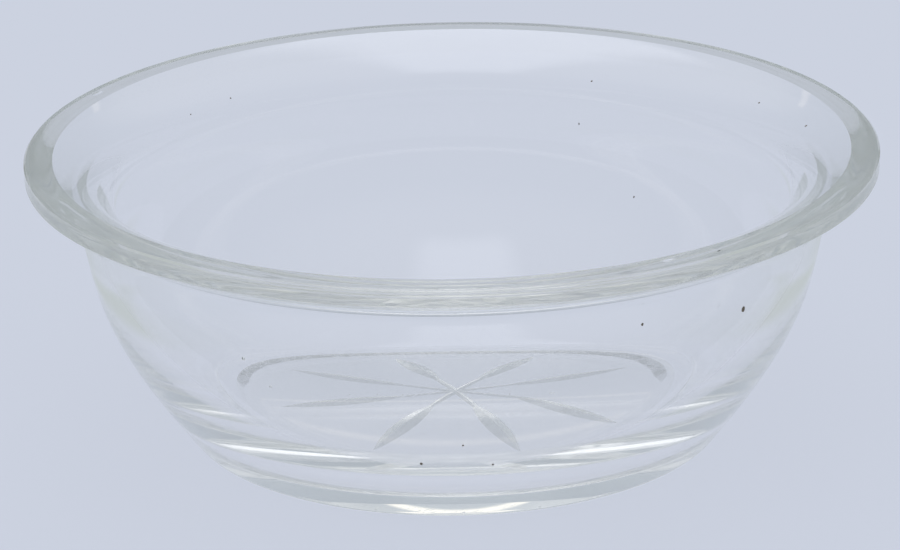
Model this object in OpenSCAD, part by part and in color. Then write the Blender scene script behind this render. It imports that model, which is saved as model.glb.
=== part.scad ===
// Salt cellar: a small round bowl of clear glass with an everted, ground rim and a star cut
// under its thick flat base. It is pressed and cut from one gather of glass, so it is one node.
// The axis of the bowl is Z, and the flat underside lies on z = 0. Millimetres and degrees.

/* [Rim] */
// Outside diameter of the everted rim
rim_d = 60; // [56:0.5:72]
// Whole height from the underside to the top of the rim
height = 20.85; // [19:0.05:26]
// Width of the flat ground land on top of the rim
land_w = 2; // [1.2:0.1:2.6]
// Thickness of the lip at its outer edge
lip_t = 1.35; // [1:0.05:1.8]
// Width of the small break on the upper outer edge of the lip
lip_break = 0.15; // [0.05:0.05:0.3]
// Radius of the softer break on the lower outer edge of the lip
lip_heel = 0.25; // [0.1:0.05:0.4]
// Slope of the lip's under side where it meets the lip's edge, from the horizontal
lip_slope = 36; // [25:1:45]

/* [Neck] */
// Outside diameter of the wall just under the lip
neck_d = 52.77; // [48:0.5:54]
// Drop from the top of the rim to the neck on the outside
neck_drop = 4.1; // [3.6:0.05:5]
// Steepness of the outside wall at the neck, from the horizontal
neck_angle = 81.4; // [75:0.2:89]
// Inside diameter of the throat, below the flare
throat_d = 47.45; // [42:0.5:50]
// Drop from the top of the rim to the throat on the inside
throat_drop = 4.5; // [3.6:0.05:5.5]
// Steepness of the inside wall at the throat, from the horizontal
throat_angle = 94; // [86:0.5:98]
// Slope of the flare where it meets the land, from the horizontal
flare_angle = 18; // [8:1:35]

/* [Wall] */
// Steepness of the outside wall where it leaves the heel, from the horizontal
heel_angle = 52.7; // [48:0.2:60]
// Pull of the lower outside curve, as a share of the wall's chord
outer_low_share = 0.537; // [0.3:0.001:0.6]
// Pull of the upper outside curve, as a share of the wall's chord
outer_high_share = 0.32; // [0.2:0.001:0.5]
// Pull of the lower inside curve, as a share of the wall's chord
inner_low_share = 0.203; // [0.15:0.001:0.4]
// Pull of the upper inside curve, as a share of the wall's chord
inner_high_share = 0.442; // [0.2:0.001:0.5]

/* [Base] */
// Diameter of the flat underside that the bowl rests on
base_d = 34; // [30:0.5:36]
// Diameter at the top of the narrow bevel round the underside
bevel_d = 37.8; // [36.5:0.1:38.2]
// Rise of the bevel from the underside to its outer edge
bevel_rise = 0.48; // [0.2:0.02:0.7]
// Diameter where the rounded heel runs into the wall
heel_d = 38.7; // [38.4:0.1:40]
// Height where the rounded heel runs into the wall
heel_rise = 0.9; // [0.75:0.05:1.3]
// Thickness of the floor of the bowl
floor_t = 2.67; // [2.3:0.01:3.2]
// Diameter of the flat inside floor
floor_d = 30; // [26:0.5:31]
// Radius of the inside corner between floor and wall
corner_r = 4.4; // [3.6:0.1:5]
// Turn of the inside corner before the wall takes over
corner_turn = 46; // [36:1:50]

/* [Star] */
// Number of rays of the star cut
ray_count = 8; // [6:2:10]
// Diameter of the circle through the outer tips of the rays
star_d = 27.2; // [20:0.2:30]
// Length of one leaf-shaped cut along its ray
leaf_len = 10.2; // [8:0.1:11]
// Depth of a leaf cut at its middle
leaf_depth = 0.5; // [0.3:0.02:0.7]
// Half of the angle between the two flanks of a cut
flank_angle = 56.3; // [45:0.1:62]
// Length of the fine cuts that cross at the centre
stem_len = 17.6; // [12:0.1:20]
// Depth of the fine cuts at the centre
stem_depth = 0.2; // [0.08:0.01:0.26]
// Turn of the whole star about the axis
star_turn = -3.3; // [-22.5:0.1:22.5]
// Length of the last leaf, which the cutter let slip off its ray
slip_len = 11.2; // [8:0.1:12]
// Distance of the slipped leaf's middle from the axis
slip_r = 9.4; // [8:0.1:10]
// Turn of the slipped leaf about the axis, away from its ray
slip_turn = -8; // [-12:0.5:0]
// Turn of the slipped leaf about its own middle
slip_skew = -10; // [-15:0.5:0]

/* [Hidden] */
glass_color = [0.93, 0.95, 0.93, 0.35];
// How far a cutting wheel reaches below the underside
cut_over = 0.3;
// Number of straight steps in each long curve and in each short one, and round the bowl
long_steps = 16;
short_steps = 8;
round_steps = 180;
rim_r = rim_d / 2;
land_r = rim_r - land_w;
lip_low = height - lip_t;
neck = [neck_d / 2, height - neck_drop];
throat = [throat_d / 2, height - throat_drop];
heel = [heel_d / 2, heel_rise];
bevel = [bevel_d / 2, bevel_rise];
corner_start = [floor_d / 2, floor_t];
corner_end = corner_start + corner_r * [sin(corner_turn), 1 - cos(corner_turn)];
// The lip's under side flares out from the neck to this point, where the break of its edge starts
lip_under = [rim_r, lip_low] + lip_heel * [sin(lip_slope) - 1, 1 - cos(lip_slope)];
// Pull of the three short curves, as a share of their chords
short_share = 0.36;

function dir(a) = [cos(a), sin(a)];
function bend(p, a, pull_a, q, b, pull_b, t) =
    pow(1 - t, 3) * p
    + 3 * pow(1 - t, 2) * t * (p + pull_a * norm(q - p) * dir(a))
    + 3 * (1 - t) * t * t * (q - pull_b * norm(q - p) * dir(b))
    + pow(t, 3) * q;
function curve(p, a, pull_a, q, b, pull_b, n) =
    [for (i = [1:n]) bend(p, a, pull_a, q, b, pull_b, i / n)];
function arc(start, r, turn, n) =
    [for (i = [0:n]) start + r * [sin(turn * i / n), 1 - cos(turn * i / n)]];

// Slope of the bevel, carried into the rounded heel
bevel_slope = atan2(bevel_rise, (bevel_d - base_d) / 2);

outside = concat(
    [[0, 0], [base_d / 2, 0], bevel],
    curve(bevel, bevel_slope, short_share, heel, heel_angle, short_share, short_steps),
    curve(heel, heel_angle, outer_low_share, neck, neck_angle, outer_high_share, long_steps),
    curve(neck, neck_angle, short_share, lip_under, lip_slope, short_share, short_steps)
);
rim_edge = [
    [rim_r, lip_low + lip_heel],
    [rim_r, height - lip_break],
    [rim_r - lip_break, height],
    [land_r, height]
];
inside_up = concat(
    arc(corner_start, corner_r, corner_turn, short_steps),
    curve(corner_end, corner_turn, inner_low_share, throat, throat_angle, inner_high_share, long_steps),
    curve(throat, throat_angle, short_share, [land_r, height], flare_angle, short_share, short_steps)
);
// The last point of the inside is the land's inner edge, which the rim edge already holds
inside = [for (i = [len(inside_up) - 2:-1:0]) inside_up[i]];
section = concat(outside, rim_edge, inside, [[0, floor_t]]);

// One wheel cut: the V-shaped edge of a thin grinding wheel, dipped into the underside from below
module wheel_cut(mid_r, cut_len, depth, skew = 0) {
    wheel_r = (pow(cut_len / 2, 2) + depth * depth) / (2 * depth);
    drop = depth + cut_over;
    flank = drop * tan(flank_angle);
    translate([mid_r, 0, depth - wheel_r])
        rotate([0, 0, skew])
            for (side = [-1, 1])
                rotate([90 * side, 0, 0])
                    cylinder(h = flank, r1 = wheel_r, r2 = wheel_r - drop);
}

// The star: one leaf cut for each ray, the last one slipped, and one fine cut for each pair of
// opposite rays
module star_cut() {
    step = 360 / ray_count;
    rotate([0, 0, star_turn + step / 2]) {
        for (i = [0:ray_count - 2])
            rotate([0, 0, i * step])
                wheel_cut(star_d / 2 - leaf_len / 2, leaf_len, leaf_depth);
        rotate([0, 0, slip_turn - step])
            wheel_cut(slip_r, slip_len, leaf_depth, slip_skew);
        for (i = [0:ray_count / 2 - 1])
            rotate([0, 0, i * step])
                wheel_cut(0, stem_len, stem_depth);
    }
}

module glass_bowl() {
    color(glass_color)
        difference() {
            rotate_extrude($fn = round_steps)
                polygon(section);
            star_cut();
        }
}

glass_bowl();
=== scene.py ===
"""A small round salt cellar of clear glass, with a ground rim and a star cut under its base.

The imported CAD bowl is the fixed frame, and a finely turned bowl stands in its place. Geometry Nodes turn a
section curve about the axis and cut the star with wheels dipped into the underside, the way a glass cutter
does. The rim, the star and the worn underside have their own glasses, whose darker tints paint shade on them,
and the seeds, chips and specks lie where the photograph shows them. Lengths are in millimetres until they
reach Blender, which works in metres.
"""

import logging
import math
from dataclasses import dataclass, field
from enum import Enum

import bpy
from bpy.types import Material, Node, NodeSocket, NodeTree, Object, bpy_prop_collection
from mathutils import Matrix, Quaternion, Vector

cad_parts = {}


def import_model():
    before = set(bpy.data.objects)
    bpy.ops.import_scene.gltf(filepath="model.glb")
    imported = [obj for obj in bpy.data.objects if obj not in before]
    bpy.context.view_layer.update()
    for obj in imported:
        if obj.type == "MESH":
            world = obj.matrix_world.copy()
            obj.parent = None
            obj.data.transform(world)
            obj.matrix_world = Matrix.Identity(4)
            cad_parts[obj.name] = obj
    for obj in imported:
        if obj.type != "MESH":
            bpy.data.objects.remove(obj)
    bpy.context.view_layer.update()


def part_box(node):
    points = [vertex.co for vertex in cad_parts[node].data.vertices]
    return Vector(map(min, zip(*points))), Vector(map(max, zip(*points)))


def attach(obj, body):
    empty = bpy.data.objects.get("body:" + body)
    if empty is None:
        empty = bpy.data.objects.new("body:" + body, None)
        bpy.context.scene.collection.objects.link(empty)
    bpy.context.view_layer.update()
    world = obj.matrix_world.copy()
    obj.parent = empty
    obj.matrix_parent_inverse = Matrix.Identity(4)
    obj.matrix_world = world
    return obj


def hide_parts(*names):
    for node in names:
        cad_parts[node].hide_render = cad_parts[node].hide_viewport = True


MM = 0.001
NODE = "glass_bowl"
BODY = "root"
LIGHT_BOUNCES = 200
# Points nearer to each other than this are joined, in metres
SEAM = 1e-6
# How much farther than its cut a wheel's edge is swept, so that its ends lie outside the glass
SWEEP_SPARE = 1.15
# Rise of a ray, as a share of its length, below which it can't meet a soft box
LOWEST_RISE = 0.02
# Roundness of the small balls that make seeds and specks
BALL_STEPS = 3
# Faces lower than this belong to the flat underside, in metres
FLAT = 1e-5

Rgb = tuple[float, float, float]
Point = tuple[float, float]

# Directions of the two layers of scratches, in radians about each axis
SCRATCH_TURNS = ((0.3, 0.5, 0.4), (-0.6, 0.2, 2.1))
# Noise above this, less the amount of scratches, makes a scratch; then how softly one sets in
SCRATCH_LEVEL = 0.85
SCRATCH_EDGE = 0.04
# Most of a noise's values lie between these
NOISE_SPREAD = (0.35, 0.65)
BOX_SIDES = ("Left", "Right", "Front", "Back", "Edge")
SHAPES, SHADERS = "GeometryNodeTree", "ShaderNodeTree"
GROUP_NODES = {SHAPES: "GeometryNodeGroup", SHADERS: "ShaderNodeGroup"}

log = logging.getLogger("salt_cellar")


class Socket(Enum):
    """The kinds of socket that the node groups here use."""

    GEOMETRY = "NodeSocketGeometry"
    OBJECT = "NodeSocketObject"
    MATERIAL = "NodeSocketMaterial"
    FLOAT = "NodeSocketFloat"
    COUNT = "NodeSocketInt"

    @classmethod
    def of(cls, value: object) -> "Socket":
        """The kind of socket that carries a value."""
        kinds = {Object: cls.OBJECT, Material: cls.MATERIAL, int: cls.COUNT, float: cls.FLOAT}
        return kinds[type(value)]


Settings = dict[str, Object | Material | int | float]
Sockets = dict[str, Socket]


class Graph:
    """A node tree with short calls for adding nodes and joining their sockets."""

    def __init__(self, tree: NodeTree) -> None:
        """Works on an existing tree.

        Args:
            tree: the tree to add nodes to.
        """
        self.tree = tree

    def node(self, kind: str, inputs: dict | None = None, **settings: object) -> Node:
        """Adds one node.

        Args:
            kind: the node's type name.
            inputs: for each input socket, by name or place, a value or a socket to join.
            settings: the node's own settings.

        Returns:
            The new node.
        """
        made = self.tree.nodes.new(kind)
        for name, value in settings.items():
            setattr(made, name, value)
        self.fill(made, inputs or {})
        return made

    def fill(self, node: Node, inputs: dict) -> None:
        """Feeds several inputs of a node, by name or place."""
        for place, value in inputs.items():
            self.feed(node.inputs[place], value)

    def finished(self, **outputs: NodeSocket) -> NodeTree:
        """Joins the group's outputs and gives the group."""
        self.node("NodeGroupOutput", outputs)
        return self.tree

    def form(self, kind: str, inputs: dict | None = None, **settings: object) -> NodeSocket:
        """Adds a geometry node, named without its prefix, and gives its first output."""
        return self.node(f"GeometryNode{kind}", inputs, **settings).outputs[0]

    def moved(self, shape: NodeSocket, way: NodeSocket, turn: object) -> NodeSocket:
        """Shifts a shape and turns it, in radians about each axis."""
        return self.form("Transform", {"Geometry": shape, "Translation": way, "Rotation": turn})

    def swept(self, path: NodeSocket, edge: NodeSocket, capped: bool = False) -> NodeSocket:
        """Makes the surface that an edge leaves when it runs along a path."""
        return self.form("CurveToMesh", {"Curve": path, "Profile Curve": edge, "Fill Caps": capped})

    def group(self, tree: NodeTree, inputs: dict[str, object]) -> bpy_prop_collection:
        """Places a group.

        Args:
            tree: the group's tree.
            inputs: a value or a socket for each of its named inputs.

        Returns:
            The group's outputs.
        """
        return self.node(GROUP_NODES[self.tree.bl_idname], inputs, node_tree=tree).outputs

    def feed(self, socket: NodeSocket, value: object) -> None:
        """Joins a socket to an input, or gives it a plain value.

        Args:
            socket: the input to fill.
            value: an output socket or a plain value.
        """
        if isinstance(value, NodeSocket):
            self.tree.links.new(value, socket)
        else:
            socket.default_value = value

    def math(self, operation: str, a: object, b: object = 0.0, c: object = 0.0) -> NodeSocket:
        """Works out one Math operation on numbers or sockets."""
        return self.node("ShaderNodeMath", {0: a, 1: b, 2: c}, operation=operation).outputs[0]

    def times(self, a: object, b: object) -> NodeSocket:
        """Multiplies two numbers or sockets."""
        return self.math("MULTIPLY", a, b)

    def minus(self, a: object, b: object) -> NodeSocket:
        """Takes the second number or socket from the first."""
        return self.math("SUBTRACT", a, b)

    def here(self) -> NodeSocket:
        """The place that is being shaded, in the object's own coordinates."""
        return self.node("ShaderNodeTexCoord").outputs["Object"]

    def parts(self, vector: NodeSocket) -> bpy_prop_collection:
        """Splits a vector into X, Y and Z."""
        return self.node("ShaderNodeSeparateXYZ", {0: vector}).outputs

    def reach(self, x: object, y: object) -> NodeSocket:
        """Length of the line to a point from its two coordinates."""
        return self.math("SQRT", self.math("ADD", self.times(x, x), self.times(y, y)))

    def blend(self, share: object, start: Rgb | NodeSocket, end: Rgb) -> NodeSocket:
        """Goes from one colour to another as the share goes from 0 to 1."""
        first = start if isinstance(start, NodeSocket) else (*start, 1)
        return self.node("ShaderNodeMix", {0: share, 6: first, 7: (*end, 1)}, data_type="RGBA").outputs[2]

    def patchy(self, patches: NodeSocket, share: float) -> NodeSocket:
        """Goes from 1 less the share up to 1 as the patches go from 0 to 1."""
        return self.math("MULTIPLY_ADD", patches, share, 1 - share)

    def relief(self, shader: Node, height: NodeSocket, depth_mm: float) -> None:
        """Roughens a material's surface by a height that goes from 0 to 1."""
        bump = self.node("ShaderNodeBump", {"Height": height, "Distance": depth_mm * MM})
        self.feed(shader.inputs["Normal"], bump.outputs[0])

    def painted(self, shape: NodeSocket, material: NodeSocket, where: object = True) -> NodeSocket:
        """Gives the chosen faces of a shape a material."""
        inputs = {"Geometry": shape, "Selection": where, "Material": material}
        return self.form("SetMaterial", inputs)

    def noise(self, size: object, detail: float, at: NodeSocket | None = None) -> bpy_prop_collection:
        """Adds noise with lumps of about the given size.

        Args:
            size: the size, a number or a socket.
            detail: how many finer layers it has.
            at: the place to read it at, where that isn't the usual one.

        Returns:
            The noise's outputs.
        """
        scale = 1 / size if isinstance(size, float) else self.math("DIVIDE", 1.0, size)
        made = self.node("ShaderNodeTexNoise", {"Scale": scale, "Detail": detail})
        if at is not None:
            self.feed(made.inputs["Vector"], at)
        return made.outputs

    def vector(self, x: object, y: object, z: object) -> NodeSocket:
        """Joins three numbers or sockets into a vector."""
        return self.node("ShaderNodeCombineXYZ", {"X": x, "Y": y, "Z": z}).outputs[0]

    def ramp(
        self, value: object, low: object, high: object, start: object = 0.0, end: object = 1.0
    ) -> NodeSocket:
        """Carries a value from one range to another, smoothly and without passing its ends.

        Args:
            value: the number to carry over.
            low: where the first range starts.
            high: where the first range ends.
            start: what low becomes.
            end: what high becomes.

        Returns:
            The socket with the result.
        """
        made = self.node(
            "ShaderNodeMapRange",
            {"Value": value, "From Min": low, "From Max": high, "To Min": start, "To Max": end},
            interpolation_type="SMOOTHSTEP",
        )
        return made.outputs["Result"]


def new_group(name: str, kind: str, gives: Sockets, takes: Sockets) -> tuple[Graph, bpy_prop_collection]:
    """Starts a node group.

    Args:
        name: the group's name.
        kind: the type of its tree.
        gives: the kind of each named output.
        takes: the kind of each named input.

    Returns:
        The group to add nodes to, and its inputs.
    """
    graph = Graph(bpy.data.node_groups.new(name, kind))
    for way, sockets in (("OUTPUT", gives), ("INPUT", takes)):
        for label, socket in sockets.items():
            graph.tree.interface.new_socket(label, in_out=way, socket_type=socket.value)
    return graph, graph.node("NodeGroupInput").outputs


def floats(*names: str) -> Sockets:
    """Lists sockets that carry plain numbers."""
    return dict.fromkeys(names, Socket.FLOAT)


def passed_on(given: bpy_prop_collection, *names: str) -> dict[str, NodeSocket]:
    """Hands some of a group's inputs on under their own names."""
    return {name: given[name] for name in names}


def in_metres(lengths: dict[str, float]) -> dict[str, float]:
    """Turns lengths from millimetres into metres."""
    return {name: length * MM for name, length in lengths.items()}


def new_material(name: str) -> tuple[Material, Graph, Node]:
    """Starts a material.

    Args:
        name: the material's name.

    Returns:
        The material, its tree to add nodes to, and its Principled BSDF.
    """
    made = bpy.data.materials.new(name)
    made.use_nodes = True
    return made, Graph(made.node_tree), made.node_tree.nodes["Principled BSDF"]


def new_object(name: str, data: bpy.types.ID) -> Object:
    """Puts a new object at the origin of the scene.

    Args:
        name: the object's name.
        data: its mesh, curve or camera.

    Returns:
        The object.
    """
    made = bpy.data.objects.new(name, data)
    bpy.context.scene.collection.objects.link(made)
    return made


@dataclass(frozen=True)
class Knot:
    """A point of a section curve, with the handle on each side or none where the line is straight."""

    at: Point
    before: Point | None = None
    after: Point | None = None


class Pen:
    """Draws a section curve from point to point, in millimetres from the axis and upwards."""

    def __init__(self, start: Point) -> None:
        """Starts the line.

        Args:
            start: the first point.
        """
        self.knots: list[Knot] = [Knot(start)]

    def line(self, *points: Point) -> None:
        """Draws straight lines through the points."""
        self.knots += [Knot(p) for p in points]

    def curve(self, to: Point, slope: float, pull: float, end_slope: float, end_pull: float) -> None:
        """Draws one smooth curve.

        Args:
            to: where the curve ends.
            slope: its direction at the start, in degrees from the outward horizontal.
            pull: how far the start direction pulls, as a share of the chord.
            end_slope: its direction at the end, in degrees.
            end_pull: how far the end direction pulls, as a share of the chord.
        """
        last = self.knots[-1]
        chord = math.dist(last.at, to)
        a, b = math.radians(slope), math.radians(end_slope)
        after = (last.at[0] + pull * chord * math.cos(a), last.at[1] + pull * chord * math.sin(a))
        before = (to[0] - end_pull * chord * math.cos(b), to[1] - end_pull * chord * math.sin(b))
        self.knots[-1] = Knot(last.at, last.before, after)
        self.knots.append(Knot(to, before))

    def arc(self, radius: float, start: float, end: float) -> None:
        """Draws a round corner from the last point.

        Args:
            radius: its radius.
            start: direction of the line where it begins, in degrees.
            end: direction where it ends; a larger angle turns towards the axis.
        """
        turn = math.radians(end - start)
        side = math.copysign(1.0, turn)
        a, b = math.radians(start), math.radians(end)
        x, z = self.knots[-1].at
        to = (
            x + side * radius * (math.sin(b) - math.sin(a)),
            z + side * radius * (math.cos(a) - math.cos(b)),
        )
        pull = 4 / 3 * math.tan(abs(turn) / 4) * radius / math.dist(self.knots[-1].at, to)
        self.curve(to, start, pull, end, pull)

    def outline(self, name: str, steps: int) -> Object:
        """Makes the line a curve object, which the turning reads and which is removed afterwards.

        Args:
            name: the object's name.
            steps: straight steps in each curved stretch.

        Returns:
            The curve object, in metres.
        """
        curve = bpy.data.curves.new(name, "CURVE")
        curve.dimensions = "3D"
        curve.resolution_u = steps
        spline = curve.splines.new("BEZIER")
        spline.bezier_points.add(len(self.knots) - 1)
        for point, knot in zip(spline.bezier_points, self.knots):
            point.handle_left_type = "FREE" if knot.before else "VECTOR"
            point.handle_right_type = "FREE" if knot.after else "VECTOR"
            point.co = (knot.at[0] * MM, knot.at[1] * MM, 0)
            if knot.before:
                point.handle_left = (knot.before[0] * MM, knot.before[1] * MM, 0)
            if knot.after:
                point.handle_right = (knot.after[0] * MM, knot.after[1] * MM, 0)
        return new_object(name, curve)


@dataclass
class BowlSection:
    """Half of the bowl's section, as the CAD part has it. The rim and the height come from the frame."""

    rim_r: float
    height: float
    land_w: float = 2.0
    lip_t: float = 1.35
    lip_break: float = 0.15
    lip_heel: float = 0.25
    lip_slope: float = 36.0
    neck_r: float = 26.385
    neck_drop: float = 4.1
    neck_slope: float = 81.4
    throat_r: float = 23.725
    throat_drop: float = 4.5
    throat_slope: float = 94.0
    flare_slope: float = 18.0
    heel_slope: float = 52.7
    outer_low_pull: float = 0.537
    outer_high_pull: float = 0.32
    inner_low_pull: float = 0.203
    inner_high_pull: float = 0.442
    base_r: float = 17.0
    bevel_r: float = 18.9
    bevel_rise: float = 0.48
    heel_r: float = 19.35
    heel_rise: float = 0.9
    floor_t: float = 2.67
    floor_r: float = 15.0
    corner_r: float = 4.4
    corner_turn: float = 46.0
    short_pull: float = 0.36
    # Distance of the ring that keeps a flat face flat beside a corner or curve
    guard: float = 0.05
    steps: int = 20

    def outline(self) -> Object:
        """Draws the section from the middle of the underside, over the rim, to the middle of the floor.

        Returns:
            The section as a curve object.
        """
        neck = (self.neck_r, self.height - self.neck_drop)
        throat = (self.throat_r, self.height - self.throat_drop)
        land_r = self.rim_r - self.land_w
        bevel_slope = math.degrees(math.atan2(self.bevel_rise, self.bevel_r - self.base_r))
        corner = math.radians(self.corner_turn)
        corner_top = (
            self.floor_r + self.corner_r * math.sin(corner),
            self.floor_t + self.corner_r * (1 - math.cos(corner)),
        )
        pen = Pen((0, 0))
        pen.line((self.base_r / 2, 0), (self.base_r - self.guard, 0), (self.base_r, 0))
        pen.line((self.bevel_r, self.bevel_rise))
        heel = (self.heel_r, self.heel_rise)
        pen.curve(heel, bevel_slope, self.short_pull, self.heel_slope, self.short_pull)
        pen.curve(neck, self.heel_slope, self.outer_low_pull, self.neck_slope, self.outer_high_pull)
        flare = math.radians(self.lip_slope)
        lip_under = (
            self.rim_r - self.lip_heel * (1 - math.sin(flare)),
            self.height - self.lip_t + self.lip_heel * (1 - math.cos(flare)),
        )
        pen.curve(lip_under, self.neck_slope, self.short_pull, self.lip_slope, self.short_pull)
        pen.arc(self.lip_heel, self.lip_slope, 90)
        pen.line(
            (self.rim_r, self.height - self.lip_break),
            (self.rim_r - self.lip_break, self.height),
            (land_r + self.guard, self.height),
            (land_r, self.height),
        )
        pen.curve(throat, 180 + self.flare_slope, self.short_pull, 180 + self.throat_slope, self.short_pull)
        throat_down, corner_down = 180 + self.throat_slope, 180 + self.corner_turn
        pen.curve(corner_top, throat_down, self.inner_high_pull, corner_down, self.inner_low_pull)
        pen.arc(self.corner_r, 180 + self.corner_turn, 180)
        pen.line(*((radius, self.floor_t) for radius in (self.floor_r - self.guard, self.floor_r / 2, 0)))
        return pen.outline("bowl_section", self.steps)


@dataclass
class StarCut:
    """The star under the base: a leaf cut on each ray, and fine cuts that cross at the centre."""

    rays: int = 8
    star_r: float = 13.6
    leaf_len: float = 10.2
    leaf_depth: float = 0.5
    stem_len: float = 17.6
    stem_depth: float = 0.2
    flank_angle: float = 56.3
    turn: float = -3.3
    # The last leaf, which the cutter let slip off its ray
    slip_len: float = 11.2
    slip_r: float = 9.4
    slip_turn: float = -8.0
    slip_skew: float = -10.0
    # How far a wheel reaches below the underside
    over: float = 0.3
    # Straight steps along each cut
    steps: int = 64

    @staticmethod
    def wheel_cut() -> NodeTree:
        """Builds the group that makes the stretch of a wheel's V-shaped edge that dips into the glass.

        Returns:
            The Geometry Nodes group. Its cut lies along X, with its middle over the origin.
        """
        takes = {**floats("Length", "Depth", "Reach Below", "Flank Angle"), "Cut Steps": Socket.COUNT}
        graph, given = new_group("Wheel Cut", SHAPES, {"Mesh": Socket.GEOMETRY}, takes)
        half = graph.times(given["Length"], 0.5)
        squares = graph.math("ADD", graph.math("POWER", half, 2.0), graph.math("POWER", given["Depth"], 2.0))
        radius = graph.math("DIVIDE", squares, graph.times(given["Depth"], 2.0))
        drop = graph.math("ADD", given["Depth"], given["Reach Below"])
        flank = graph.times(drop, graph.math("TANGENT", graph.math("RADIANS", given["Flank Angle"])))
        inward = graph.times(drop, -1.0)
        corners = [(0.0, 0.0), (inward, flank), (inward, 0.0), (inward, graph.times(flank, -1.0))]
        edge = graph.node("GeometryNodeCurvePrimitiveQuadrilateral", mode="POINTS")
        for place, (across, aside) in enumerate(corners, 1):
            graph.feed(edge.inputs[f"Point {place}"], graph.vector(across, aside, 0.0))
        reach = graph.times(graph.math("ARCSINE", graph.math("DIVIDE", half, radius)), SWEEP_SPARE)
        start, sweep = graph.minus(math.pi / 2, reach), graph.times(reach, 2.0)
        arc = {"Resolution": given["Cut Steps"], "Radius": radius, "Start Angle": start, "Sweep Angle": sweep}
        swept = graph.swept(graph.form("CurveArc", arc), edge.outputs[0], capped=True)
        drawn_up = graph.vector(0.0, 0.0, graph.minus(given["Depth"], radius))
        return graph.finished(Mesh=graph.moved(swept, drawn_up, (math.pi / 2, 0, 0)))

    @staticmethod
    def ring_of_cuts() -> NodeTree:
        """Builds the group that repeats one cut round the axis.

        Returns:
            The Geometry Nodes group.
        """
        takes = {"Cut": Socket.GEOMETRY, "Count": Socket.COUNT, **floats("Middle", "Skew", "Step", "First")}
        graph, given = new_group("Ring of Cuts", SHAPES, {"Cuts": Socket.GEOMETRY}, takes)
        out = graph.vector(given["Middle"], 0.0, 0.0)
        skewed = graph.vector(0.0, 0.0, graph.math("RADIANS", given["Skew"]))
        moved = graph.moved(given["Cut"], out, skewed)
        spots = graph.form("MeshLine", {"Count": given["Count"], "Offset": (0, 0, 0)})
        place = graph.form("InputIndex")
        angle = graph.math("RADIANS", graph.math("MULTIPLY_ADD", place, given["Step"], given["First"]))
        copies = {"Points": spots, "Instance": moved, "Rotation": graph.vector(0.0, 0.0, angle)}
        return graph.finished(Cuts=graph.form("InstanceOnPoints", copies))


def turned_form() -> NodeTree:
    """Builds the group that turns a section curve about the axis into a closed mesh.

    Returns:
        The Geometry Nodes group.
    """
    takes = {"Bowl Section": Socket.OBJECT, "Rim Radius": Socket.FLOAT, "Steps Round": Socket.COUNT}
    graph, given = new_group("Turned Form", SHAPES, {"Mesh": Socket.GEOMETRY}, takes)
    section = graph.node("GeometryNodeObjectInfo", {"Object": given["Bowl Section"]})
    inward = graph.vector(graph.times(given["Rim Radius"], -1.0), 0.0, 0.0)
    lying = graph.moved(section.outputs["Geometry"], inward, (math.pi, 0, 0))
    circle = {"Resolution": given["Steps Round"], "Radius": given["Rim Radius"]}
    swept = graph.swept(graph.form("CurvePrimitiveCircle", circle), lying)
    closed = graph.form("MergeByDistance", {"Geometry": swept, "Distance": SEAM})
    return graph.finished(Mesh=graph.form("FlipFaces", {"Mesh": closed}))


@dataclass(frozen=True)
class Seed:
    """An air bubble in the glass, or a chip where it breaks the surface.

    The azimuth runs from the back of the bowl towards its right, and the bubble is stretched along
    the rim.
    """

    azimuth: float
    radius: float
    height: float
    size: float
    stretch: float = 1.0


@dataclass(frozen=True)
class Speck:
    """A dark fleck on the wall, on its outer side or, with inner set, on its inner side."""

    azimuth: float
    height: float
    size: float
    stretch: float = 1.0
    inner: bool = False


def heading(azimuth: float) -> Vector:
    """The level direction of an azimuth, in degrees from the back of the bowl towards its right."""
    turn = math.radians(azimuth)
    return Vector((math.sin(turn), math.cos(turn), 0))


@dataclass
class SpotCloud:
    """Points that carry a turn and a size, for small balls to be placed on."""

    name: str
    places: list[Vector] = field(default_factory=list)
    turns: list[Vector] = field(default_factory=list)
    sizes: list[Vector] = field(default_factory=list)

    def add(self, place: Vector, turn: Vector, size: Vector) -> None:
        """Adds one point, with its turn in radians and its size along each of its own axes."""
        for values, value in ((self.places, place), (self.turns, turn), (self.sizes, size)):
            values.append(value)

    def build(self) -> Object:
        """Makes the points an object, which the trees read and which is removed afterwards.

        Returns:
            The object, a mesh of loose points.
        """
        mesh = bpy.data.meshes.new(self.name)
        mesh.from_pydata(self.places, [], [])
        for name, values in (("turn", self.turns), ("size", self.sizes)):
            layer = mesh.attributes.new(name, "FLOAT_VECTOR", "POINT")
            layer.data.foreach_set("vector", [part for value in values for part in value])
        return new_object(self.name, mesh)


def strewn_balls() -> NodeTree:
    """Builds the group that puts a small uneven ball on each point of a cloud.

    Returns:
        The Geometry Nodes group.
    """
    takes = {"Spots": Socket.OBJECT, "Roundness Steps": Socket.COUNT, **floats("Lump Size", "Lump Height")}
    graph, given = new_group("Strewn Balls", SHAPES, {"Balls": Socket.GEOMETRY}, takes)
    spots = graph.node("GeometryNodeObjectInfo", {"Object": given["Spots"]})
    ball = graph.form("MeshIcoSphere", {"Radius": 1.0, "Subdivisions": given["Roundness Steps"]})
    turn, size = [
        graph.form("InputNamedAttribute", {"Name": name}, data_type="FLOAT_VECTOR")
        for name in ("turn", "size")
    ]
    copies = {"Points": spots.outputs["Geometry"], "Instance": ball, "Rotation": turn, "Scale": size}
    balls = graph.form("RealizeInstances", {"Geometry": graph.form("InstanceOnPoints", copies)})
    lumps = graph.noise(given["Lump Size"], 1.0)["Color"]
    middle = (0.5, 0.5, 0.5)
    push = graph.node("ShaderNodeVectorMath", {0: lumps, 1: middle}, operation="SUBTRACT")
    lift = {0: push.outputs[0], "Scale": given["Lump Height"]}
    offset = graph.node("ShaderNodeVectorMath", lift, operation="SCALE").outputs[0]
    return graph.finished(Balls=graph.form("SetPosition", {"Geometry": balls, "Offset": offset}))


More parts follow.
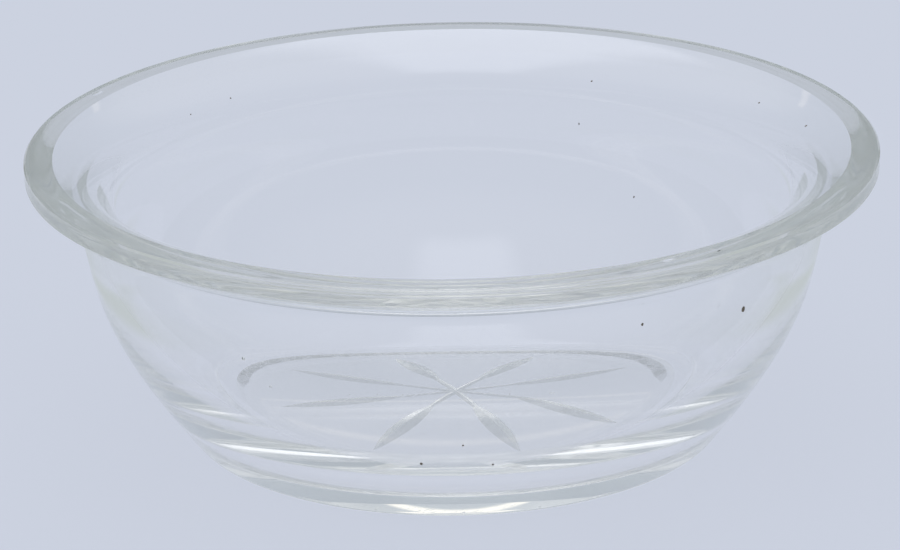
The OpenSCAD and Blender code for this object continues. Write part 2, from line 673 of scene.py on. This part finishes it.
@dataclass
class Seeds:
    """The air bubbles that the photograph shows in the wall and base, and two small chips in the rim."""

    seeds: tuple[Seed, ...] = (
        Seed(azimuth=110, radius=7.4, height=1.35, size=0.2),
        Seed(azimuth=-105, radius=8.0, height=1.35, size=0.08),
        Seed(azimuth=-108, radius=6.0, height=1.35, size=0.08),
        Seed(azimuth=-116, radius=4.3, height=1.35, size=0.08),
        Seed(azimuth=175, radius=3.3, height=1.35, size=0.08),
        Seed(azimuth=120, radius=4.5, height=1.35, size=0.08),
        Seed(azimuth=-150, radius=24.0, height=11.2, size=0.1),
        Seed(azimuth=-146, radius=24.6, height=13.0, size=0.13),
        Seed(azimuth=-63, radius=29.0, height=21.37, size=0.6, stretch=2.2),
        Seed(azimuth=151, radius=28.8, height=21.37, size=0.6, stretch=1.8),
    )

    def cloud(self) -> Object:
        """Makes the bubbles' places a cloud of points.

        Returns:
            The cloud.
        """
        made = SpotCloud("seed_spots")
        for seed in self.seeds:
            place = (heading(seed.azimuth) * seed.radius + Vector((0, 0, seed.height))) * MM
            size = Vector((seed.stretch, 1, 1)) * seed.size * MM
            made.add(place, Vector((0, 0, -math.radians(seed.azimuth))), size)
        return made.build()


@dataclass
class Specks:
    """The dark flecks that the photograph shows on the wall."""

    material: Material
    flatness: float = 0.35
    lump_mm: float = 0.15
    lump_height_mm: float = 0.09
    # Distance from the axis at which the search for the outer wall starts
    outside_mm: float = 40.0
    specks: tuple[Speck, ...] = (
        Speck(azimuth=132, height=14.5, size=0.17, stretch=1.3),
        Speck(azimuth=152, height=15.7, size=0.09, stretch=1.4),
        Speck(azimuth=-174, height=5.9, size=0.09, stretch=1.6),
        Speck(azimuth=174, height=5.7, size=0.07, stretch=1.4),
        Speck(azimuth=179, height=7.6, size=0.07),
        Speck(azimuth=37, height=10.4, size=0.06, stretch=1.5, inner=True),
        Speck(azimuth=24, height=15.1, size=0.05, stretch=1.8, inner=True),
        Speck(azimuth=26, height=18.4, size=0.07, inner=True),
        Speck(azimuth=62, height=19.6, size=0.08, inner=True),
        Speck(azimuth=78, height=19.9, size=0.08, stretch=1.5, inner=True),
        Speck(azimuth=-42, height=18.7, size=0.06, inner=True),
        Speck(azimuth=-52, height=18.5, size=0.06, inner=True),
    )

    def cloud(self, bowl: Object) -> Object:
        """Finds the specks' places on the wall.

        Args:
            bowl: the finished bowl.

        Returns:
            The places, as a cloud of points that face away from the glass.
        """
        made = SpotCloud("speck_spots")
        bpy.context.view_layer.update()
        for speck in self.specks:
            way = heading(speck.azimuth)
            level = Vector((0, 0, speck.height * MM))
            start = level if speck.inner else level + way * self.outside_mm * MM
            _, place, normal, _ = bowl.ray_cast(start, way if speck.inner else -way)
            size = Vector((1, speck.stretch, self.flatness)) * speck.size * MM
            made.add(place, Vector(normal.to_track_quat("Z", "Y").to_euler()), size)
        return made.build()

    def build(self, bowl: Object) -> Object:
        """Makes the specks one plain mesh at the origin.

        Args:
            bowl: the finished bowl.

        Returns:
            The specks.
        """
        cloud = self.cloud(bowl)
        lumps = in_metres({"Lump Size": self.lump_mm, "Lump Height": self.lump_height_mm})
        shape = {"Roundness Steps": BALL_STEPS, **lumps}
        settings = {"Spots": cloud, "Dirt": self.material, **shape}
        graph, given = piece_graph("Specks", settings)
        balls = graph.group(strewn_balls(), passed_on(given, "Spots", *shape))["Balls"]
        whole = graph.form("RealizeInstances", {"Geometry": balls})
        tree = graph.finished(Geometry=graph.painted(whole, given["Dirt"]))
        specks = plain_piece("specks", tree, settings)
        specks.data.shade_smooth()
        bpy.data.objects.remove(cloud)
        return specks


def piece_graph(name: str, settings: Settings) -> tuple[Graph, bpy_prop_collection]:
    """Starts the tree of a piece, with a named input for each setting.

    Args:
        name: the tree's name.
        settings: the value of each named input.

    Returns:
        The tree, and its inputs.
    """
    takes = {label: Socket.of(value) for label, value in settings.items()}
    return new_group(name, SHAPES, {"Geometry": Socket.GEOMETRY}, takes)


def plain_piece(name: str, tree: NodeTree, settings: Settings) -> Object:
    """Runs a tree and keeps what it makes as a plain mesh at the origin.

    Args:
        name: the piece's name.
        tree: the Geometry Nodes tree.
        settings: the value of each named input.

    Returns:
        The piece, without its modifier.
    """
    blank = new_object(f"{name}_blank", bpy.data.meshes.new(f"{name}_blank"))
    modifier = blank.modifiers.new("shape", "NODES")
    modifier.node_group = tree
    for item in tree.interface.items_tree:
        if item.in_out == "INPUT":
            modifier[item.identifier] = settings[item.name]
    graph = bpy.context.evaluated_depsgraph_get()
    mesh = bpy.data.meshes.new_from_object(blank.evaluated_get(graph), depsgraph=graph)
    mesh.name = name
    for place in reversed([i for i, used in enumerate(mesh.materials) if used is None]):
        mesh.materials.pop(index=place)
    bpy.data.objects.remove(blank)
    return new_object(name, mesh)


@dataclass(frozen=True)
class Glasses:
    """The materials of the bowl, by place."""

    body: Material
    rim: Material
    base: Material
    star: Material


@dataclass
class GlassBowl:
    """The bowl itself: turned, star cut, and dressed in clear and ground glass."""

    section: BowlSection
    star: StarCut
    seeds: Seeds
    steps_round: int = 320
    # Faces that meet at more than this keep a crisp edge between them, in degrees
    crisp: float = 10.0

    def settings(self, outline: Object, cloud: Object, glasses: Glasses) -> Settings:
        """Lists what the bowl's tree takes, in metres and degrees.

        Args:
            outline: the section curve.
            cloud: the places of the seeds.
            glasses: the bowl's materials.

        Returns:
            The value of each named input.
        """
        section, star = self.section, self.star
        lengths = {
            "Rim Radius": section.rim_r, "Rim Height": section.height, "Land Width": section.land_w,
            "Rim Break": section.lip_break, "Base Radius": section.base_r, "Star Radius": star.star_r,
            "Leaf Length": star.leaf_len, "Leaf Depth": star.leaf_depth, "Stem Length": star.stem_len,
            "Stem Depth": star.stem_depth, "Slip Length": star.slip_len, "Slip Depth": star.leaf_depth,
            "Slip Radius": star.slip_r, "Reach Below": star.over,
        }
        return {
            "Bowl Section": outline, "Seed Spots": cloud, "Body Glass": glasses.body,
            "Rim Glass": glasses.rim, "Base Glass": glasses.base, "Star Glass": glasses.star,
            "Steps Round": self.steps_round, "Rays": star.rays, "Cut Steps": star.steps,
            "Flank Angle": star.flank_angle, "Star Turn": star.turn, "Slip Turn": star.slip_turn,
            "Slip Skew": star.slip_skew, **in_metres(lengths),
        }

    def tree(self, settings: Settings) -> NodeTree:
        """Builds the tree that turns the bowl, sets its glasses, and cuts the star and the seeds.

        Args:
            settings: the value of each named input.

        Returns:
            The Geometry Nodes tree.
        """
        graph, given = piece_graph("Star Cut Bowl", settings)
        turned = passed_on(given, "Bowl Section", "Rim Radius", "Steps Round")
        body = graph.group(turned_form(), turned)["Mesh"]
        cut, ring = self.star.wheel_cut(), self.star.ring_of_cuts()
        step = graph.math("DIVIDE", 360.0, given["Rays"])
        first = graph.math("MULTIPLY_ADD", step, 0.5, given["Star Turn"])
        middle = graph.math("MULTIPLY_ADD", given["Leaf Length"], -0.5, given["Star Radius"])
        half_count = graph.math("DIVIDE", given["Rays"], 2.0)
        true_leaves = graph.minus(given["Rays"], 1.0)
        slipped = graph.math("ADD", graph.minus(first, step), given["Slip Turn"])
        rings = (
            ("Leaf", true_leaves, middle, 0.0, first),
            ("Slip", 1, given["Slip Radius"], given["Slip Skew"], slipped),
            ("Stem", half_count, 0.0, 0.0, first),
        )
        shared = passed_on(given, "Reach Below", "Flank Angle", "Cut Steps")
        wheels = []
        for kind, count, place, skew, start in rings:
            size = {"Length": given[f"{kind} Length"], "Depth": given[f"{kind} Depth"]}
            one = graph.group(cut, {**size, **shared})["Mesh"]
            around = {"Cut": one, "Count": count, "Middle": place, "Skew": skew, "Step": step, "First": start}
            wheels.append(graph.group(ring, around)["Cuts"])
        glass = graph.painted(body, given["Body Glass"])
        rim, base = self.ground_faces(graph, given)
        glass = graph.painted(glass, given["Rim Glass"], rim)
        glass = graph.painted(glass, given["Base Glass"], base)
        starred = graph.node("GeometryNodeMeshBoolean", {0: glass}, operation="DIFFERENCE", solver="MANIFOLD")
        round_balls = {"Roundness Steps": BALL_STEPS, "Lump Size": 1.0, "Lump Height": 0.0}
        hollow = graph.group(strewn_balls(), {"Spots": given["Seed Spots"], **round_balls})["Balls"]
        graph.feed(starred.inputs[1], graph.painted(hollow, given["Body Glass"]))
        for wheel in wheels:
            graph.feed(starred.inputs[1], graph.painted(wheel, given["Star Glass"]))
        whole = graph.form("RealizeInstances", {"Geometry": starred.outputs[0]})
        return graph.finished(Geometry=whole)

    @staticmethod
    def ground_faces(graph: Graph, given: bpy_prop_collection) -> tuple[NodeSocket, NodeSocket]:
        """Finds the faces that the maker ground.

        Args:
            graph: the tree to work in.
            given: the tree's named inputs.

        Returns:
            The socket that is true on the rim's land and outer edge, and the one for the underside.
        """
        place = graph.parts(graph.form("InputPosition"))
        radius = graph.reach(place["X"], place["Y"])
        top = graph.minus(given["Rim Height"], given["Rim Break"])
        land = graph.minus(given["Rim Radius"], given["Land Width"])
        edge = graph.minus(given["Rim Radius"], graph.times(given["Rim Break"], 0.5))
        high = graph.math("GREATER_THAN", place["Z"], top)
        past_land = graph.math("GREATER_THAN", radius, land)
        on_edge = graph.math("GREATER_THAN", radius, edge)
        on_rim = graph.math("MULTIPLY_ADD", high, past_land, on_edge)
        inside = graph.math("LESS_THAN", radius, given["Base Radius"])
        on_base = graph.times(inside, graph.math("LESS_THAN", place["Z"], FLAT))
        return graph.math("GREATER_THAN", on_rim, 0.5), graph.math("GREATER_THAN", on_base, 0.5)

    def build(self, glasses: Glasses) -> Object:
        """Makes the finished bowl as one plain mesh at the origin.

        Args:
            glasses: the bowl's materials.

        Returns:
            The bowl.
        """
        outline, cloud = self.section.outline(), self.seeds.cloud()
        settings = self.settings(outline, cloud, glasses)
        bowl = plain_piece("bowl", self.tree(settings), settings)
        bowl.data.shade_smooth()
        bowl.data.set_sharp_from_angle(angle=math.radians(self.crisp))
        bpy.data.objects.remove(outline)
        bpy.data.objects.remove(cloud)
        return bowl


def turned_marks() -> NodeTree:
    """Builds the shader group for the marks that a grinding wheel leaves, which run round the axis.

    Returns:
        The shader group. Its height and its patches go from 0 to 1.
    """
    takes = floats("Mark Width", "Mark Length", "Patch Size")
    graph, given = new_group("Turned Marks", SHADERS, floats("Height", "Patches"), takes)
    here = graph.here()
    place = graph.parts(here)
    across = graph.math("ADD", graph.reach(place["X"], place["Y"]), place["Z"])
    per_width = graph.math("DIVIDE", 1.0, given["Mark Width"])
    per_length = graph.math("DIVIDE", 1.0, given["Mark Length"])
    along = graph.vector(
        graph.times(across, per_width),
        graph.times(place["X"], per_length),
        graph.times(place["Y"], per_length),
    )
    marks = graph.noise(1.0, 3.0, along)[0]
    spread = graph.ramp(graph.noise(given["Patch Size"], 2.0, here)[0], *NOISE_SPREAD)
    return graph.finished(Height=marks, Patches=spread)


@dataclass(frozen=True)
class Glass:
    """What the glasses of the bowl share: clear table glass that turns olive where it is deep."""

    name: str = "clear_glass"
    ior: float = 1.5
    tint: Rgb = (1.0, 1.0, 1.0)
    roughness: float = 0.0
    depth_color: Rgb = (0.97, 0.973, 0.94)
    depth_density: float = 10.0

    def material(self) -> Material:
        """Builds the material.

        Returns:
            The finished material.
        """
        made, graph, shader = new_material(self.name)
        look = {"Base Color": (*self.tint, 1), "Roughness": self.roughness, "IOR": self.ior}
        graph.fill(shader, {**look, "Transmission Weight": 1.0})
        depth = {"Color": (*self.depth_color, 1), "Density": self.depth_density}
        dye = graph.node("ShaderNodeVolumeAbsorption", depth)
        graph.feed(made.node_tree.nodes["Material Output"].inputs["Volume"], dye.outputs[0])
        self.dress(graph, shader)
        return made

    def dress(self, graph: Graph, shader: Node) -> None:
        """Adds what changes over the surface.

        Args:
            graph: the material's tree.
            shader: its Principled BSDF.
        """


@dataclass(frozen=True)
class PolishedGlass(Glass):
    """The body's polished surface, with the slight waves of pressed glass."""

    wave_mm: float = 6.0
    wave_height_mm: float = 0.0008
    scratch_mm: float = 0.05
    scratch_run_mm: float = 4.0
    scratch_share: float = 0.12
    scratch_roughness: float = 0.18
    scratches: NodeTree | None = None

    def dress(self, graph: Graph, shader: Node) -> None:
        """Adds the waves and the fine scratches.

        Args:
            graph: the material's tree.
            shader: its Principled BSDF.
        """
        waves = graph.noise(self.wave_mm * MM, 0.0, graph.here())[0]
        graph.relief(shader, waves, self.wave_height_mm)
        width, length = self.scratch_mm * MM, self.scratch_run_mm * MM
        sizes = {"Scratch Width": width, "Scratch Length": length, "Amount": self.scratch_share}
        mask = graph.group(self.scratches, sizes)["Mask"]
        graph.feed(shader.inputs["Roughness"], graph.times(mask, self.scratch_roughness))


@dataclass(frozen=True)
class GroundGlass(Glass):
    """Glass left satin by a grinding wheel, with marks that run round the axis, and darker tints that paint
    shade.
    """

    name: str = "shaded_ground_rim"
    # Darker tints that paint the shade that the rim shows; the worn tint also marks the harder-ground patches
    tint: Rgb = (0.915, 0.915, 0.88)
    roughness: float = 0.04
    worn_shade_tint: Rgb = (0.83, 0.83, 0.78)
    worn_roughness: float = 0.1
    mark_mm: float = 0.3
    mark_run_mm: float = 18.0
    mark_height_mm: float = 0.0008
    patch_mm: float = 2.5
    # How much of the wear and its painted shade, or of the polish, comes and goes with the patches
    patch_share: float = 0.5
    polish_share: float = 0.5
    # Distance from the axis past which the glass is smooth, with no marks, and how soon they end
    smooth_r_mm: float = 29.9
    smooth_edge_mm: float = 0.1
    marks: NodeTree | None = None

    def dress(self, graph: Graph, shader: Node) -> None:
        """Adds the wheel marks, and the patches where the glass was ground harder, which take the darker tint
        of painted shade.

        Args:
            graph: the material's tree.
            shader: its Principled BSDF.
        """
        made = self.wheel_marks(graph)
        place = graph.parts(graph.here())
        reach = graph.reach(place["X"], place["Y"])
        last = (self.smooth_r_mm - self.smooth_edge_mm) * MM
        ground = graph.ramp(reach, last, self.smooth_r_mm * MM, 1.0, 0.0)
        rubbed = graph.times(graph.ramp(made["Height"], *NOISE_SPREAD), ground)
        worn = graph.times(rubbed, graph.patchy(made["Patches"], self.patch_share))
        # The darker tints paint shade into the glass of the rim and of the star
        color = graph.blend(worn, self.tint, self.worn_shade_tint)
        rough = graph.ramp(worn, 0.0, 1.0, self.roughness, self.worn_roughness)
        graph.fill(shader, {"Base Color": color, "Roughness": rough})
        graph.relief(shader, graph.times(made["Height"], ground), self.mark_height_mm)

    def wheel_marks(self, graph: Graph) -> bpy_prop_collection:
        """Places the group of wheel marks at this glass's sizes."""
        sizes = {"Mark Width": self.mark_mm, "Mark Length": self.mark_run_mm, "Patch Size": self.patch_mm}
        return graph.group(self.marks, in_metres(sizes))


@dataclass(frozen=True)
class CutGlass(GroundGlass):
    """The star's satin facets, darkened with painted shade."""

    name: str = "shaded_cut_star"
    # Dark tints that paint the shade that the leaves show, not a colour of the glass
    tint: Rgb = (0.7, 0.71, 0.66)
    worn_shade_tint: Rgb = (0.5, 0.51, 0.46)
    roughness: float = 0.14
    worn_roughness: float = 0.24
    mark_mm: float = 0.1
    mark_run_mm: float = 0.3
    mark_height_mm: float = 0.002
    patch_mm: float = 1.5


def shaded_worn_ring() -> NodeTree:
    """Builds the shader group for the ring that a bowl rubs on, which is worn, and darkened with painted
    shade, on one side only.

    Returns:
        The shader group. Its mask is 1 on the ring and 0 beside it.
    """
    takes = floats("Radius", "Width", "Aside", "Behind", "Start", "Fade", "Edge")
    graph, given = new_group("Shaded Worn Ring", SHADERS, floats("Mask"), takes)
    place = graph.parts(graph.here())
    x = graph.minus(place["X"], given["Aside"])
    y = graph.minus(place["Y"], given["Behind"])
    off = graph.math("ABSOLUTE", graph.minus(graph.reach(x, y), given["Radius"]))
    full = graph.math("ADD", given["Start"], given["Fade"])
    # Only the back of the ring is worn and darkened with painted shade
    behind = graph.ramp(place["Y"], given["Start"], full)
    half = graph.times(graph.times(given["Width"], 0.5), behind)
    ring = graph.ramp(off, half, graph.minus(half, given["Edge"]))
    return graph.finished(Mask=graph.times(ring, behind))


@dataclass(frozen=True)
class ShadedWornGlass(GroundGlass):
    """The polished underside, with the ring that it rubs on worn dull and darkened at the back with painted
    shade.
    """

    name: str = "shaded_worn_base"
    tint: Rgb = (0.97, 0.97, 0.95)
    # A dark tint that paints shade on the back of the ring, not a colour of the glass
    worn_shade_tint: Rgb = (0.42, 0.43, 0.39)
    roughness: float = 0.07
    worn_roughness: float = 0.35
    mark_mm: float = 0.1
    mark_run_mm: float = 1.2
    mark_height_mm: float = 0.006
    patch_mm: float = 1.2
    patch_share: float = 0.4
    ring_r_mm: float = 15.9
    ring_width_mm: float = 1.5
    aside_mm: float = -0.4
    behind_mm: float = 0.0
    start_mm: float = -2.2
    fade_mm: float = 3.5
    edge_mm: float = 0.15
    ring: NodeTree | None = None

    def dress(self, graph: Graph, shader: Node) -> None:
        """Adds the worn ring and its painted shade.

        Args:
            graph: the material's tree.
            shader: its Principled BSDF.
        """
        made = self.wheel_marks(graph)
        sizes = {
            "Radius": self.ring_r_mm, "Width": self.ring_width_mm, "Aside": self.aside_mm,
            "Behind": self.behind_mm, "Start": self.start_mm, "Fade": self.fade_mm, "Edge": self.edge_mm,
        }
        ring = graph.group(self.ring, in_metres(sizes))["Mask"]
        worn = graph.times(ring, graph.patchy(made["Patches"], self.patch_share))
        # The dark colour on the ring is painted shade; its roughness and bumps are the wear
        color = graph.blend(worn, self.tint, self.worn_shade_tint)
        rubbed = graph.times(self.roughness, graph.patchy(made["Patches"], self.polish_share))
        rough = graph.math("MAXIMUM", rubbed, graph.times(worn, self.worn_roughness))
        graph.fill(shader, {"Base Color": color, "Roughness": rough})
        graph.relief(shader, graph.times(made["Height"], worn), self.mark_height_mm)


def fine_scratches() -> NodeTree:
    """Builds the shader group for the hair-fine scratches of long use, in two crossing directions.

    Returns:
        The shader group. Its mask is 1 in a scratch and 0 beside it.
    """
    takes = floats("Scratch Width", "Scratch Length", "Amount")
    graph, given = new_group("Fine Scratches", SHADERS, floats("Mask"), takes)
    here = graph.here()
    per_width = graph.math("DIVIDE", 1.0, given["Scratch Width"])
    per_length = graph.math("DIVIDE", 1.0, given["Scratch Length"])
    scale = graph.vector(per_length, per_width, per_width)
    least = graph.minus(SCRATCH_LEVEL, given["Amount"])
    layers = []
    for turn in SCRATCH_TURNS:
        turned = graph.node("ShaderNodeMapping", {"Vector": here, "Rotation": turn})
        along = graph.node("ShaderNodeVectorMath", {0: turned.outputs[0], 1: scale}, operation="MULTIPLY")
        noise = graph.noise(1.0, 0.0, along.outputs[0])[0]
        layers.append(graph.ramp(noise, least, graph.math("ADD", least, SCRATCH_EDGE)))
    return graph.finished(Mask=graph.math("MAXIMUM", layers[0], layers[1]))


@dataclass(frozen=True)
class SpeckDirt:
    """Old brown-black dirt, dull and uneven."""

    light: Rgb = (0.34, 0.28, 0.2)
    dark: Rgb = (0.09, 0.07, 0.05)
    roughness: float = 0.8
    grain_mm: float = 0.08
    grain_low: float = 0.3
    grain_high: float = 0.7

    def material(self) -> Material:
        """Builds the material.

        Returns:
            The finished material.
        """
        made, graph, shader = new_material("speck_dirt")
        grain = graph.noise(self.grain_mm * MM, 2.0, graph.here())[0]
        color = graph.blend(grain, self.dark, self.light)
        rough = graph.ramp(grain, self.grain_low, self.grain_high, self.roughness, 1.0)
        graph.fill(shader, {"Base Color": color, "Roughness": rough})
        return made


@dataclass(frozen=True)
class SoftBox:
    """A large soft light overhead, as it lies on a ceiling one unit above the bowl."""

    color: Rgb
    left: float
    right: float
    front: float
    back: float
    edge: float = 0.08
    # Share of the box that shows to rays that have come through the glass
    through: float = 1.0


def box_mask() -> NodeTree:
    """Builds the shader group that shows where on the sky a soft box lies.

    Returns:
        The shader group. Its mask is 1 inside the box and 0 outside it.
    """
    graph, given = new_group("Soft Box Mask", SHADERS, floats("Mask"), floats(*BOX_SIDES))
    way = graph.parts(graph.node("ShaderNodeTexCoord").outputs["Generated"])
    rise = graph.math("MAXIMUM", way["Z"], LOWEST_RISE)
    mask = graph.math("GREATER_THAN", way["Z"], LOWEST_RISE)
    outer = graph.times(given["Edge"], -1.0)
    for axis, low, high in (("X", "Left", "Right"), ("Y", "Front", "Back")):
        spot = graph.math("DIVIDE", way[axis], rise)
        over = graph.ramp(graph.minus(spot, given[low]), outer, given["Edge"])
        under = graph.ramp(graph.minus(given[high], spot), outer, given["Edge"])
        mask = graph.times(mask, graph.times(over, under))
    return graph.finished(Mask=mask)


@dataclass
class Studio:
    """The pale floor, the soft light and the surroundings that the glass shows."""

    backdrop: Rgb = (0.61, 0.65, 0.75)
    # Colour of the darker table, a painted dark reflection
    table: Rgb = (0.53, 0.575, 0.585)
    # Half width of the pale sheet, and how far the darker table beside it reaches from the bowl; the table is
    # a painted dark reflection that only the glass shows
    sheet_mm: float = 34.0
    sheet_edge_mm: float = 3.0
    dark_reflection_mm: float = 58.0
    dark_reflection_edge_mm: float = 8.0
    floor_paint: Rgb = (0.62, 0.66, 0.75)
    shown_share: float = 0.92
    floor_size: float = 3.0
    floor_gap_mm: float = 0.06
    sky: tuple[tuple[float, Rgb], ...] = (
        (-0.2, (0.36, 0.39, 0.43)),
        (0.0, (0.38, 0.42, 0.47)),
        (0.45, (0.42, 0.47, 0.53)),
        (0.6, (0.62, 0.66, 0.7)),
        (1.0, (0.8, 0.83, 0.85)),
    )
    boxes: tuple[SoftBox, ...] = (
        SoftBox((1.85, 1.9, 2.0), left=-0.35, right=0.21, front=-0.67, back=0.85, edge=0.1, through=0.35),
        SoftBox((1.15, 1.12, 1.04), left=-0.6, right=0.45, front=1.62, back=1.71, edge=0.03),
    )

    def floor(self) -> Object:
        """Lays the floor.

        Returns:
            The floor.
        """
        half, low = self.floor_size, -self.floor_gap_mm * MM
        mesh = bpy.data.meshes.new("floor")
        corners = [(-half, -half, low), (half, -half, low), (half, half, low), (-half, half, low)]
        mesh.from_pydata(corners, [], [(0, 1, 2, 3)])
        made, graph, paper = new_material("floor_paper")
        look = {"Base Color": (*self.floor_paint, 1), "Roughness": 1.0, "Specular IOR Level": 0.0}
        graph.fill(paper, look)
        path = graph.node("ShaderNodeLightPath").outputs
        bent = graph.math("MAXIMUM", path["Is Glossy Ray"], path["Is Transmission Ray"])
        seen = graph.math("MAXIMUM", path["Is Camera Ray"], bent)
        place = graph.parts(graph.here())
        edge, fade = self.sheet_edge_mm, self.dark_reflection_edge_mm
        aside = graph.math("ABSOLUTE", place["X"])
        past_sheet = graph.ramp(aside, (self.sheet_mm - edge) * MM, (self.sheet_mm + edge) * MM)
        reach = graph.reach(place["X"], place["Y"])
        near = graph.ramp(reach, (self.dark_reflection_mm - fade) * MM, (self.dark_reflection_mm + fade) * MM, 1.0, 0.0)
        # Only reflected and refracted rays see the darker table: a painted dark reflection at the bowl's
        # sides
        in_dark_reflection = graph.times(bent, graph.times(past_sheet, near))
        shown = graph.blend(in_dark_reflection, self.backdrop, self.table)
        glow = graph.node("ShaderNodeEmission", {"Color": shown, "Strength": 1.0})
        layers = {0: graph.times(seen, self.shown_share), 1: paper.outputs[0], 2: glow.outputs[0]}
        mixed = graph.node("ShaderNodeMixShader", layers)
        graph.feed(made.node_tree.nodes["Material Output"].inputs["Surface"], mixed.outputs[0])
        mesh.materials.append(made)
        return new_object("floor", mesh)

    def light(self) -> None:
        """Sets the world: an even, slightly cool sky with soft boxes in it."""
        world = bpy.data.worlds.new("studio")
        bpy.context.scene.world = world
        world.use_nodes = True
        graph = Graph(world.node_tree)
        way = graph.parts(graph.node("ShaderNodeTexCoord").outputs["Generated"])
        share = graph.node("ShaderNodeMapRange", {"Value": way["Z"], "From Min": -1.0, "From Max": 1.0})
        ramp = graph.node("ShaderNodeValToRGB", {0: share.outputs[0]})
        stops = ramp.color_ramp.elements
        # A new ramp has two stops already
        for index, (height, color) in enumerate(self.sky):
            stop = stops[index] if index < 2 else stops.new(1.0)
            stop.position, stop.color = (height + 1) / 2, (*color, 1)
        shown, masks = ramp.outputs[0], box_mask()
        passed = graph.node("ShaderNodeLightPath").outputs["Is Transmission Ray"]
        for box in self.boxes:
            sides = {side: getattr(box, side.lower()) for side in BOX_SIDES}
            strength = graph.math("MULTIPLY_ADD", passed, box.through - 1, 1.0)
            lit = graph.times(graph.group(masks, sides)["Mask"], strength)
            shown = graph.blend(lit, shown, box.color)
        graph.feed(world.node_tree.nodes["Background"].inputs["Color"], shown)


@dataclass
class PhotoCamera:
    """The camera, fitted to the rim's ellipses and the outline in the photograph."""

    distance_mm: float = 300.0
    elevation: float = 20.0
    roll: float = 1.0
    aim_mm: float = 10.58
    focal_px: float = 4216.0
    shift_x_px: float = 3.9
    shift_y_px: float = 5.2
    width_px: float = 900.0
    sensor_mm: float = 36.0

    def place(self) -> Object:
        """Places the camera in front of the bowl and makes it the scene's camera.

        Returns:
            The camera object.
        """
        data = bpy.data.cameras.new("camera")
        data.sensor_width = self.sensor_mm
        data.lens = self.focal_px / self.width_px * self.sensor_mm
        data.shift_x = -self.shift_x_px / self.width_px
        data.shift_y = self.shift_y_px / self.width_px
        data.clip_start = 0.01
        camera = new_object("camera", data)
        rise = math.radians(self.elevation)
        aim = Vector((0, 0, self.aim_mm * MM))
        camera.location = aim + Vector((0, -math.cos(rise), math.sin(rise))) * self.distance_mm * MM
        camera.rotation_mode = "QUATERNION"
        look = (aim - camera.location).to_track_quat("-Z", "Y")
        camera.rotation_quaternion = look @ Quaternion((0, 0, 1), -math.radians(self.roll))
        bpy.context.scene.camera = camera
        return camera


def light_paths(bounces: int) -> None:
    """Lets light that is caught inside the glass find its way out, so that no false dark spots show.

    Args:
        bounces: the most turns that a ray may take.
    """
    cycles = bpy.context.scene.cycles
    cycles.max_bounces = bounces
    cycles.glossy_bounces = bounces
    cycles.transmission_bounces = bounces


def main() -> None:
    """Builds the bowl and the studio and reports each piece."""
    logging.basicConfig(level=logging.INFO, format="%(message)s")
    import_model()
    low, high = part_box(NODE)
    section = BowlSection(rim_r=round((high.x - low.x) / 2 / MM, 2), height=high.z / MM)
    marks = turned_marks()
    glasses = Glasses(
        body=PolishedGlass(scratches=fine_scratches()).material(),
        rim=GroundGlass(marks=marks).material(),
        base=ShadedWornGlass(marks=marks, ring=shaded_worn_ring()).material(),
        star=CutGlass(marks=marks).material(),
    )
    bowl = GlassBowl(section, StarCut(), Seeds()).build(glasses)
    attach(bowl, BODY)
    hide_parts(NODE)
    log.info("bowl: %d faces", len(bowl.data.polygons))
    specks = Specks(SpeckDirt().material()).build(bowl)
    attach(specks, BODY)
    log.info("specks: %d faces", len(specks.data.polygons))
    studio = Studio()
    studio.floor()
    studio.light()
    PhotoCamera().place()
    bpy.context.scene.view_settings.view_transform = "Standard"
    light_paths(LIGHT_BOUNCES)


if __name__ == "__main__":
    main()
